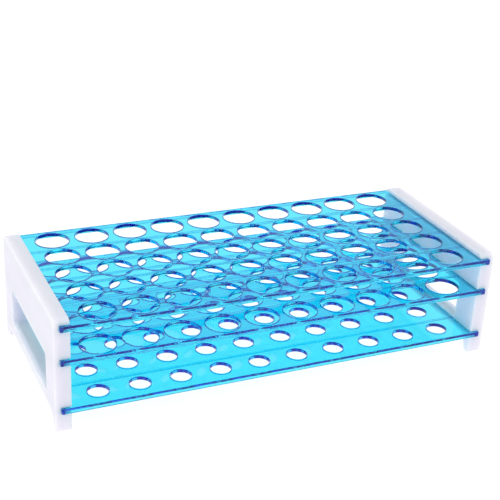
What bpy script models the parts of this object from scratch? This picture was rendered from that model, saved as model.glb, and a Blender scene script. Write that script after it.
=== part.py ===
"""Three-tier test tube rack: two white end panels and three clear blue trays that slide in their grooves.

Metres, +Z up. The origin is on the table under the middle of the rack. X runs along the
rack, from the left end panel to the right one, and -Y is the front.
"""

import math

import bmesh
import bpy
from mathutils import Matrix, Vector

MM = 0.001

# Tube grid
COLUMNS = 10
ROWS = 5
COLUMN_PITCH = 22.5 * MM
ROW_PITCH = 21.5 * MM
TUBE_HOLE_RADIUS = 9.25 * MM
SEAT_HOLE_RADIUS = 5.6 * MM
TUBE_HOLE_SIDES = 18
SEAT_HOLE_SIDES = 12

# Trays
TRAY_LENGTH = 246.2 * MM
TRAY_DEPTH = 109.5 * MM
TRAY_THICKNESS = 3.1 * MM
SKIN_THICKNESS = 2.0 * MM
RIM_WIDTH = 1.8 * MM
RIB_WIDTH = 1.2 * MM
TRAY_EDGE_ROUNDING = 0.3 * MM
TRAYS = {
    "top_tray": (59.8 * MM, TUBE_HOLE_RADIUS, TUBE_HOLE_SIDES),
    "middle_tray": (41.1 * MM, TUBE_HOLE_RADIUS, TUBE_HOLE_SIDES),
    "bottom_tray": (13.6 * MM, SEAT_HOLE_RADIUS, SEAT_HOLE_SIDES),
}

# End panels
RACK_LENGTH = 252.4 * MM
PANEL_THICKNESS = 8.3 * MM
PANEL_DEPTH = 107.0 * MM
PANEL_HEIGHT = 62.6 * MM
PANEL_CORNER_RADIUS = 4.0 * MM
PANEL_EDGE_ROUNDING = 0.8 * MM
GROOVE_GAP = 0.25 * MM
ARCH_HEIGHT = 8.2 * MM
ARCH_TOP_LENGTH = 92.0 * MM
ARCH_FOOT_LENGTH = 99.8 * MM
ARCH_FILLET = 3.0 * MM
FOOT_CORNER_RADIUS = 1.0 * MM
WINDOW_LENGTH = 73.0 * MM
WINDOW_BOTTOM = 15.0 * MM
WINDOW_TOP = 36.0 * MM
WINDOW_CORNER_RADIUS = 1.5 * MM
ARC_STEPS = 4

PANEL_INNER_X = RACK_LENGTH / 2 - PANEL_THICKNESS
# Turns an outline drawn in local X and Y so that it stands in the world's Y and Z.
UPRIGHT = Matrix(((0, 0, 1), (1, 0, 0), (0, 1, 0))).to_4x4()


def clear_scene():
    for obj in list(bpy.data.objects):
        bpy.data.objects.remove(obj, do_unlink=True)


def new_collection(name, hidden=False):
    collection = bpy.data.collections.new(name)
    collection.hide_render = hidden
    bpy.context.scene.collection.children.link(collection)
    return collection


def new_material(name, colour, roughness, alpha=1.0, transmission=0.0):
    material = bpy.data.materials.new(name)
    material.use_nodes = True
    shader = material.node_tree.nodes["Principled BSDF"]
    shader.inputs["Base Color"].default_value = (*colour, 1.0)
    shader.inputs["Roughness"].default_value = roughness
    shader.inputs["Metallic"].default_value = 0.0
    shader.inputs["Alpha"].default_value = alpha
    shader.inputs["Transmission Weight"].default_value = transmission
    material.diffuse_color = (*colour, alpha)
    return material


def box_mesh(name, size):
    """A box centred on its own origin."""
    mesh = bpy.data.meshes.new(name)
    shape = bmesh.new()
    bmesh.ops.create_cube(shape, size=1.0)
    bmesh.ops.scale(shape, vec=size, verts=shape.verts)
    shape.to_mesh(mesh)
    shape.free()
    return mesh


def place(name, mesh, collection, location=(0, 0, 0)):
    obj = bpy.data.objects.new(name, mesh)
    obj.location = location
    collection.objects.link(obj)
    return obj


def mark_as_cutter(obj):
    obj.hide_render = True
    obj.display_type = "WIRE"
    return obj


def cut(obj, cutter, name):
    modifier = obj.modifiers.new(name, "BOOLEAN")
    modifier.operation = "DIFFERENCE"
    modifier.solver = "EXACT"
    modifier.object = cutter


def round_edges(obj, width, segments):
    modifier = obj.modifiers.new("rounded_edges", "BEVEL")
    modifier.width = width
    modifier.segments = segments
    modifier.limit_method = "ANGLE"
    modifier.angle_limit = math.radians(50)


def hole_positions():
    """Centre of each tube position, column by column."""
    for column in range(COLUMNS):
        for row in range(ROWS):
            yield (
                (column - (COLUMNS - 1) / 2) * COLUMN_PITCH,
                (row - (ROWS - 1) / 2) * ROW_PITCH,
            )


def hole_cutter(name, radius, sides, collection):
    """One upright cylinder for each tube position, longer than a tray is thick."""
    shape = bmesh.new()
    for x, y in hole_positions():
        bmesh.ops.create_cone(
            shape,
            cap_ends=True,
            segments=sides,
            radius1=radius,
            radius2=radius,
            depth=3 * TRAY_THICKNESS,
            matrix=Matrix.Translation((x, y, 0)),
        )
    mesh = bpy.data.meshes.new(name)
    shape.to_mesh(mesh)
    shape.free()
    return mark_as_cutter(place(name, mesh, collection))


def pocket_spans():
    """Front and back of the hollow under each row of holes, between the rims and ribs."""
    ribs = [(row - ROWS / 2) * ROW_PITCH for row in range(1, ROWS)]
    fronts = [-TRAY_DEPTH / 2 + RIM_WIDTH] + [y + RIB_WIDTH / 2 for y in ribs]
    backs = [y - RIB_WIDTH / 2 for y in ribs] + [TRAY_DEPTH / 2 - RIM_WIDTH]
    return list(zip(fronts, backs))


def pocket_cutter(name, collection):
    """The hollows under a tray's skin, which leave its rim and its four ribs standing."""
    shape = bmesh.new()
    depth = 2 * (TRAY_THICKNESS - SKIN_THICKNESS)
    length = TRAY_LENGTH - 2 * RIM_WIDTH
    for front, back in pocket_spans():
        middle = Vector((0, (front + back) / 2, -TRAY_THICKNESS / 2))
        size = Matrix.Diagonal((length, back - front, depth, 1))
        bmesh.ops.create_cube(shape, size=1.0, matrix=Matrix.Translation(middle) @ size)
    mesh = bpy.data.meshes.new(name)
    shape.to_mesh(mesh)
    shape.free()
    return mark_as_cutter(place(name, mesh, collection))


def make_tray(name, material, parts, cutters):
    top, radius, sides = TRAYS[name]
    size = (TRAY_LENGTH, TRAY_DEPTH, TRAY_THICKNESS)
    tray = place(name, box_mesh(name, size), parts, (0, 0, top - TRAY_THICKNESS / 2))
    tray.data.materials.append(material)
    round_edges(tray, TRAY_EDGE_ROUNDING, 1)
    holes = hole_cutter(f"{name}_holes", radius, sides, cutters)
    pockets = pocket_cutter(f"{name}_pockets", cutters)
    for cutter, purpose in ((pockets, "pockets"), (holes, "holes")):
        cutter.parent = tray
        cut(tray, cutter, purpose)
    return tray


def corner_arc(corner, before, after, radius):
    """Points that round the corner between the directions to the points before and after it."""
    corner, before, after = Vector(corner), Vector(before), Vector(after)
    to_before = (before - corner).normalized()
    to_after = (after - corner).normalized()
    half = to_before.angle(to_after) / 2
    centre = corner + (to_before + to_after).normalized() * radius / math.sin(half)
    start = corner + to_before * radius / math.tan(half) - centre
    turn = -(math.pi - 2 * half) * (1 if to_before.cross(to_after) > 0 else -1)
    for step in range(ARC_STEPS + 1):
        spin = Matrix.Rotation(turn * step / ARC_STEPS, 2)
        yield centre + spin @ start


def rounded_outline(corners):
    """Closed outline through (y, z, radius) corners, each rounded by its own radius."""
    points = []
    for index, (y, z, radius) in enumerate(corners):
        before = corners[index - 1][:2]
        after = corners[(index + 1) % len(corners)][:2]
        points.extend(corner_arc((y, z), before, after, radius))
    return points


def mirrored_outline(front_half):
    """The corners of the front half, then the same corners at the back in reverse."""
    return front_half + [(-y, z, radius) for y, z, radius in reversed(front_half)]


def panel_outlines():
    body = mirrored_outline(
        [
            (-ARCH_TOP_LENGTH / 2, ARCH_HEIGHT, ARCH_FILLET),
            (-ARCH_FOOT_LENGTH / 2, 0, FOOT_CORNER_RADIUS),
            (-PANEL_DEPTH / 2, 0, FOOT_CORNER_RADIUS),
            (-PANEL_DEPTH / 2, PANEL_HEIGHT, PANEL_CORNER_RADIUS),
        ]
    )
    window = mirrored_outline(
        [
            (-WINDOW_LENGTH / 2, WINDOW_BOTTOM, WINDOW_CORNER_RADIUS),
            (-WINDOW_LENGTH / 2, WINDOW_TOP, WINDOW_CORNER_RADIUS),
        ]
    )
    return [rounded_outline(body), rounded_outline(window)]


def add_outline(curve, points):
    spline = curve.splines.new("POLY")
    spline.points.add(len(points) - 1)
    for point, (y, z) in zip(spline.points, points):
        point.co = (y, z, 0, 1)
    spline.use_cyclic_u = True


def panel_mesh(name):
    """The panel's outline with its window, as a plate of the panel's thickness."""
    curve = bpy.data.curves.new(f"{name}_outline", "CURVE")
    curve.dimensions = "2D"
    curve.fill_mode = "BOTH"
    curve.extrude = PANEL_THICKNESS / 2
    for points in panel_outlines():
        add_outline(curve, points)
    drawn = bpy.data.objects.new(f"{name}_outline", curve)
    bpy.context.scene.collection.objects.link(drawn)
    graph = bpy.context.evaluated_depsgraph_get()
    mesh = bpy.data.meshes.new_from_object(drawn.evaluated_get(graph))
    bpy.data.objects.remove(drawn)
    bpy.data.curves.remove(curve)
    shape = bmesh.new()
    shape.from_mesh(mesh)
    bmesh.ops.remove_doubles(shape, verts=shape.verts, dist=0.01 * MM)
    bmesh.ops.dissolve_limit(
        shape, angle_limit=math.radians(1), verts=shape.verts, edges=shape.edges
    )
    bmesh.ops.recalc_face_normals(shape, faces=shape.faces)
    shape.to_mesh(mesh)
    shape.free()
    mesh.name = name
    return mesh


def groove_cutter(name, side, collection):
    """Three grooves in a panel's inner face, open at the front and back, one for each tray."""
    shape = bmesh.new()
    tongue_end = TRAY_LENGTH / 2 + GROOVE_GAP
    mouth = PANEL_INNER_X - PANEL_THICKNESS
    for top, _, _ in TRAYS.values():
        middle = Vector((side * (tongue_end + mouth) / 2, 0, top - TRAY_THICKNESS / 2))
        size = (tongue_end - mouth, 2 * PANEL_DEPTH, TRAY_THICKNESS + 2 * GROOVE_GAP, 1)
        matrix = Matrix.Translation(middle) @ Matrix.Diagonal(size)
        bmesh.ops.create_cube(shape, size=1.0, matrix=matrix)
    mesh = bpy.data.meshes.new(name)
    shape.to_mesh(mesh)
    shape.free()
    return mark_as_cutter(place(name, mesh, collection))


def make_end_panel(name, side, material, parts, cutters):
    panel = place(name, panel_mesh(name), parts)
    middle = side * (RACK_LENGTH - PANEL_THICKNESS) / 2
    panel.matrix_world = Matrix.Translation((middle, 0, 0)) @ UPRIGHT
    panel.data.materials.append(material)
    round_edges(panel, PANEL_EDGE_ROUNDING, 2)
    cut(panel, groove_cutter(f"{name}_grooves", side, cutters), "grooves")
    return panel


def main():
    clear_scene()
    parts = new_collection("test_tube_rack")
    cutters = new_collection("cutters", hidden=True)
    white = new_material("white_plastic", (0.87, 0.87, 0.9), 0.45)
    blue = new_material("clear_blue_plastic", (0.05, 0.62, 0.9), 0.08, 0.55, 0.8)
    for name, side in (("left_end_panel", -1), ("right_end_panel", 1)):
        make_end_panel(name, side, white, parts, cutters)
    for name in TRAYS:
        make_tray(name, blue, parts, cutters)


main()
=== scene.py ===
"""Looks for the test tube rack: clear blue trays with fine rounded holes, and milky white end panels."""

import math

import bmesh
import bpy
from mathutils import Matrix, Vector


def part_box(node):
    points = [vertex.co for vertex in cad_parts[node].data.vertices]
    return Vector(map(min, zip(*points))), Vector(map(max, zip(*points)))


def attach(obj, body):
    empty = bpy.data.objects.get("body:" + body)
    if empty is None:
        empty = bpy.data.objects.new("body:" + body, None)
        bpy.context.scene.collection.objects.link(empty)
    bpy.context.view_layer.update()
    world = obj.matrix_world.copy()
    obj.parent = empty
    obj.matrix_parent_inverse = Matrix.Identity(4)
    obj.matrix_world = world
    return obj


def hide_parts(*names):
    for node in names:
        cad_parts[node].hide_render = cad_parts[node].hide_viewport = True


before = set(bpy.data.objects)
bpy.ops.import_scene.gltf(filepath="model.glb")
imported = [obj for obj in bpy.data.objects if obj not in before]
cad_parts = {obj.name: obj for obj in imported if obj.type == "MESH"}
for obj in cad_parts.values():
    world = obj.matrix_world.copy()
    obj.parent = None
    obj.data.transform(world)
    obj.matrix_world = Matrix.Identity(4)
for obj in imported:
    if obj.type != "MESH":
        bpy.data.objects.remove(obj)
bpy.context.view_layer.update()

MM = 0.001

# Camera: its place in metres, the way that it faces in radians, and its lens in millimetres
CAMERA_AT = (-0.239359, -0.509879, 0.321212)
CAMERA_YAW = 0.447786
CAMERA_PITCH = 0.447593
CAMERA_ROLL = -0.060343
CAMERA_LENS = 80.172
CAMERA_SHIFT = (-0.017408, 0.026709)
SENSOR = 36.0

# Tube grid
COLUMNS = 10
ROWS = 5
COLUMN_PITCH = 22.5 * MM
ROW_PITCH = 21.5 * MM
TUBE_HOLE_RADIUS = 9.25 * MM
SEAT_HOLE_RADIUS = 5.6 * MM
HOLE_SIDES = 72

# Trays
SKIN = 2.0 * MM
RIM_WIDTH = 1.8 * MM
RIB_WIDTH = 1.2 * MM
LIP_ROUNDING = 0.35 * MM
LIP_SEGMENTS = 3
SHARPEST_SMOOTH_EDGE = math.radians(50)
LARGEST_CURVED_FACE = 5 * MM * MM
LEVEL_NORMAL = 0.999
TRAY_HOLES = {
    "top_tray": TUBE_HOLE_RADIUS,
    "middle_tray": TUBE_HOLE_RADIUS,
    "bottom_tray": SEAT_HOLE_RADIUS,
}

PANELS = ("left_end_panel", "right_end_panel")

# Studio
WHITE = (1.0, 1.0, 1.0, 1)
LOW_SKY = (0.72, 0.72, 0.72, 1)
SKY_STRENGTH = 1.02
FLOOR_GREY = (0.2, 0.2, 0.2, 1)
FLOOR_GLOW = 0.92
FLOOR_HALF_SIZE = 3.0
FLOOR_HEIGHT = -0.0002
AIM = (0, 0, 0.03)
KEY_AT = (-0.85, -0.2, 1.15)
KEY_SIZE = 0.8
KEY_POWER = 5.5
FILL_AT = (0.9, -0.9, 0.9)
FILL_SIZE = 1.0
FILL_POWER = 1.6
CLEAR_BOUNCES = 96
GLOSSY_BOUNCES = 24
SHADOW_BOUNCES = 40

# Tint of the clear plastic: what its surface lets in, and what is left after a depth of it
SURFACE_TINT = (0.26, 0.92, 0.985, 1)
DEPTH_TINT = (0.038, 0.888, 0.984, 1)
DEPTH_DENSITY = 520.0

# The two shades of the milky plastic's flow marks
MILK_DARK = (0.70, 0.68, 0.775, 1)
MILK_LIGHT = (0.75, 0.73, 0.82, 1)


def rotation_matrix():
    """The camera's right, up and back directions as the columns of a matrix."""
    sin_yaw, cos_yaw = math.sin(CAMERA_YAW), math.cos(CAMERA_YAW)
    sin_pitch, cos_pitch = math.sin(CAMERA_PITCH), math.cos(CAMERA_PITCH)
    forward = Vector((sin_yaw * cos_pitch, cos_yaw * cos_pitch, -sin_pitch))
    right = Vector((cos_yaw, -sin_yaw, 0))
    down = forward.cross(right)
    sin_roll, cos_roll = math.sin(CAMERA_ROLL), math.cos(CAMERA_ROLL)
    rolled_right = right * cos_roll + down * sin_roll
    rolled_down = down * cos_roll - right * sin_roll
    return Matrix((rolled_right, -rolled_down, -forward)).transposed().to_4x4()


def add_camera():
    data = bpy.data.cameras.new("camera")
    data.sensor_width = SENSOR
    data.lens = CAMERA_LENS
    data.shift_x, data.shift_y = CAMERA_SHIFT
    data.clip_start = 0.01
    data.clip_end = 20
    camera = bpy.data.objects.new("camera", data)
    camera.matrix_world = Matrix.Translation(CAMERA_AT) @ rotation_matrix()
    bpy.context.scene.collection.objects.link(camera)
    bpy.context.scene.camera = camera


def add_area_light(name, at, size, power):
    data = bpy.data.lights.new(name, "AREA")
    data.shape = "SQUARE"
    data.size = size
    data.energy = power
    light = bpy.data.objects.new(name, data)
    light.location = at
    light.rotation_euler = (Vector(AIM) - Vector(at)).to_track_quat("-Z", "Y").to_euler()
    bpy.context.scene.collection.objects.link(light)


def new_material(name):
    material = bpy.data.materials.new(name)
    material.use_nodes = True
    tree = material.node_tree
    tree.nodes.clear()
    return material, tree


def node(tree, kind, **inputs):
    made = tree.nodes.new(kind)
    for name, value in inputs.items():
        made.inputs[name.replace("_", " ")].default_value = value
    return made


def clear_plastic():
    """Tinted clear plastic: it bends light, and darkens with the depth of plastic looked through."""
    material, tree = new_material("clear_blue_plastic")
    shader = node(
        tree,
        "ShaderNodeBsdfPrincipled",
        Base_Color=SURFACE_TINT,
        Roughness=0.01,
        IOR=1.47,
        Transmission_Weight=1.0,
    )
    ripple = node(tree, "ShaderNodeTexNoise", Scale=55.0, Detail=2.0, Roughness=0.4)
    place = tree.nodes.new("ShaderNodeTexCoord")
    bump = node(tree, "ShaderNodeBump", Strength=0.02, Distance=0.0005)
    tree.links.new(place.outputs["Object"], ripple.inputs["Vector"])
    tree.links.new(ripple.outputs["Fac"], bump.inputs["Height"])
    tree.links.new(bump.outputs["Normal"], shader.inputs["Normal"])
    lamps_pass = node(tree, "ShaderNodeBsdfTransparent", Color=WHITE)
    rays = tree.nodes.new("ShaderNodeLightPath")
    mix = tree.nodes.new("ShaderNodeMixShader")
    tree.links.new(rays.outputs["Is Shadow Ray"], mix.inputs["Fac"])
    tree.links.new(shader.outputs["BSDF"], mix.inputs[1])
    tree.links.new(lamps_pass.outputs["BSDF"], mix.inputs[2])
    depth = node(tree, "ShaderNodeVolumeAbsorption", Color=DEPTH_TINT, Density=DEPTH_DENSITY)
    output = tree.nodes.new("ShaderNodeOutputMaterial")
    tree.links.new(mix.outputs["Shader"], output.inputs["Surface"])
    tree.links.new(depth.outputs["Volume"], output.inputs["Volume"])
    return material


def milky_plastic():
    """White moulded plastic that light sinks into a little, with faint flow marks and a satin skin."""
    material, tree = new_material("milky_white_plastic")
    place = tree.nodes.new("ShaderNodeTexCoord")
    cloud = node(tree, "ShaderNodeTexNoise", Scale=18.0, Detail=3.0, Roughness=0.5)
    tint = tree.nodes.new("ShaderNodeValToRGB")
    tint.color_ramp.elements[0].color = MILK_DARK
    tint.color_ramp.elements[1].color = MILK_LIGHT
    tint.color_ramp.elements[0].position = 0.3
    tint.color_ramp.elements[1].position = 0.7
    grain = node(tree, "ShaderNodeTexNoise", Scale=900.0, Detail=2.0, Roughness=0.6)
    bump = node(tree, "ShaderNodeBump", Strength=0.12, Distance=0.0002)
    shader = node(
        tree,
        "ShaderNodeBsdfPrincipled",
        Roughness=0.42,
        IOR=1.49,
        Subsurface_Weight=0.8,
        Subsurface_Radius=(1.0, 0.9, 1.0),
        Subsurface_Scale=0.01,
    )
    tree.links.new(place.outputs["Object"], cloud.inputs["Vector"])
    tree.links.new(place.outputs["Object"], grain.inputs["Vector"])
    tree.links.new(cloud.outputs["Fac"], tint.inputs["Fac"])
    tree.links.new(tint.outputs["Color"], shader.inputs["Base Color"])
    tree.links.new(grain.outputs["Fac"], bump.inputs["Height"])
    tree.links.new(bump.outputs["Normal"], shader.inputs["Normal"])
    output = tree.nodes.new("ShaderNodeOutputMaterial")
    tree.links.new(shader.outputs["BSDF"], output.inputs["Surface"])
    return material


def floor_material():
    """Matt white that glows a little, so that the floor stays plain and pale."""
    material, tree = new_material("studio_floor")
    shader = node(
        tree,
        "ShaderNodeBsdfPrincipled",
        Base_Color=FLOOR_GREY,
        Roughness=0.8,
        Specular_IOR_Level=0.1,
        Emission_Color=WHITE,
        Emission_Strength=FLOOR_GLOW,
    )
    output = tree.nodes.new("ShaderNodeOutputMaterial")
    tree.links.new(shader.outputs["BSDF"], output.inputs["Surface"])
    return material


def add_floor():
    mesh = bpy.data.meshes.new("studio_floor")
    shape = bmesh.new()
    bmesh.ops.create_grid(shape, x_segments=1, y_segments=1, size=FLOOR_HALF_SIZE)
    shape.to_mesh(mesh)
    shape.free()
    mesh.materials.append(floor_material())
    floor = bpy.data.objects.new("studio_floor", mesh)
    floor.location.z = FLOOR_HEIGHT
    bpy.context.scene.collection.objects.link(floor)


def let_light_through():
    """Lets light cross the stacked clear trays as often as it needs to."""
    cycles = bpy.context.scene.cycles
    cycles.max_bounces = CLEAR_BOUNCES
    cycles.transmission_bounces = CLEAR_BOUNCES
    cycles.glossy_bounces = GLOSSY_BOUNCES
    cycles.transparent_max_bounces = SHADOW_BOUNCES


def add_light():
    """A white sky, dimmer low down where the trays mirror it, and two large soft lamps."""
    world = bpy.data.worlds.new("studio")
    world.use_nodes = True
    tree = world.node_tree
    background = tree.nodes["Background"]
    background.inputs["Strength"].default_value = SKY_STRENGTH
    way = tree.nodes.new("ShaderNodeTexCoord")
    parts = tree.nodes.new("ShaderNodeSeparateXYZ")
    sky = tree.nodes.new("ShaderNodeValToRGB")
    sky.color_ramp.elements[0].position = 0.04
    sky.color_ramp.elements[0].color = WHITE
    sky.color_ramp.elements[1].position = 0.9
    sky.color_ramp.elements[1].color = WHITE
    for height in (0.14, 0.45):
        sky.color_ramp.elements.new(height).color = LOW_SKY
    tree.links.new(way.outputs["Generated"], parts.inputs["Vector"])
    tree.links.new(parts.outputs["Z"], sky.inputs["Fac"])
    tree.links.new(sky.outputs["Color"], background.inputs["Color"])
    bpy.context.scene.world = world
    add_area_light("key", KEY_AT, KEY_SIZE, KEY_POWER)
    add_area_light("fill", FILL_AT, FILL_SIZE, FILL_POWER)


def add_box(shape, low, high):
    centre = (high + low) / 2
    matrix = Matrix.Translation(centre) @ Matrix.Diagonal((*(high - low), 1))
    bmesh.ops.create_cube(shape, size=1.0, matrix=matrix)


def object_of(shape, name):
    mesh = bpy.data.meshes.new(name)
    shape.to_mesh(mesh)
    shape.free()
    made = bpy.data.objects.new(name, mesh)
    bpy.context.scene.collection.objects.link(made)
    return made


def hole_cutter(low, high, radius):
    """Upright cylinders at every tube position of one tray."""
    shape = bmesh.new()
    middle = (low.z + high.z) / 2
    for column in range(COLUMNS):
        for row in range(ROWS):
            x = (column - (COLUMNS - 1) / 2) * COLUMN_PITCH
            y = (row - (ROWS - 1) / 2) * ROW_PITCH
            bmesh.ops.create_cone(
                shape,
                cap_ends=True,
                segments=HOLE_SIDES,
                radius1=radius,
                radius2=radius,
                depth=4 * (high.z - low.z),
                matrix=Matrix.Translation((x, y, middle)),
            )
    return object_of(shape, "holes")


def pocket_cutter(low, high):
    """The hollows under the skin, which leave the rim and the ribs between the rows."""
    ribs = [(row - ROWS / 2) * ROW_PITCH for row in range(1, ROWS)]
    fronts = [low.y + RIM_WIDTH] + [y + RIB_WIDTH / 2 for y in ribs]
    backs = [y - RIB_WIDTH / 2 for y in ribs] + [high.y - RIM_WIDTH]
    left, right = low.x + RIM_WIDTH, high.x - RIM_WIDTH
    shape = bmesh.new()
    for front, back in zip(fronts, backs):
        add_box(shape, Vector((left, front, low.z - SKIN)), Vector((right, back, high.z - SKIN)))
    return object_of(shape, "pockets")


def apply_modifiers(obj):
    graph = bpy.context.evaluated_depsgraph_get()
    mesh = bpy.data.meshes.new_from_object(obj.evaluated_get(graph))
    obj.modifiers.clear()
    obj.data = mesh


def cut(obj, cutter):
    modifier = obj.modifiers.new("cut", "BOOLEAN")
    modifier.operation = "DIFFERENCE"
    modifier.solver = "EXACT"
    modifier.object = cutter
    apply_modifiers(obj)
    bpy.data.objects.remove(cutter, do_unlink=True)


def round_lips(obj):
    """Rounds every edge of the tray, so that the hole rims and the border catch the light."""
    modifier = obj.modifiers.new("lips", "BEVEL")
    modifier.width = LIP_ROUNDING
    modifier.segments = LIP_SEGMENTS
    modifier.limit_method = "ANGLE"
    modifier.angle_limit = SHARPEST_SMOOTH_EDGE
    modifier.use_clamp_overlap = True
    apply_modifiers(obj)
    for face in obj.data.polygons:
        flat = abs(face.normal.z) > LEVEL_NORMAL or face.area > LARGEST_CURVED_FACE
        face.use_smooth = not flat


def make_tray(name, material):
    """A clear tray with round holes, in the place of the CAD tray and the same size."""
    low, high = (Vector(corner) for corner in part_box(name))
    block = bmesh.new()
    add_box(block, low, high)
    tray = object_of(block, f"{name}_clear")
    cut(tray, pocket_cutter(low, high))
    cut(tray, hole_cutter(low, high, TRAY_HOLES[name]))
    round_lips(tray)
    tray.data.materials.append(material)
    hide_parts(name)
    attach(tray, name)


def dress_panels(material):
    """Gives the CAD end panels their milky plastic."""
    for name in PANELS:
        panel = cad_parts[name]
        for slot in panel.material_slots:
            slot.material = material


add_camera()
add_light()
let_light_through()
add_floor()
blue = clear_plastic()
for tray_name in TRAY_HOLES:
    make_tray(tray_name, blue)
dress_panels(milky_plastic())

bpy.context.scene.view_settings.view_transform = "Standard"
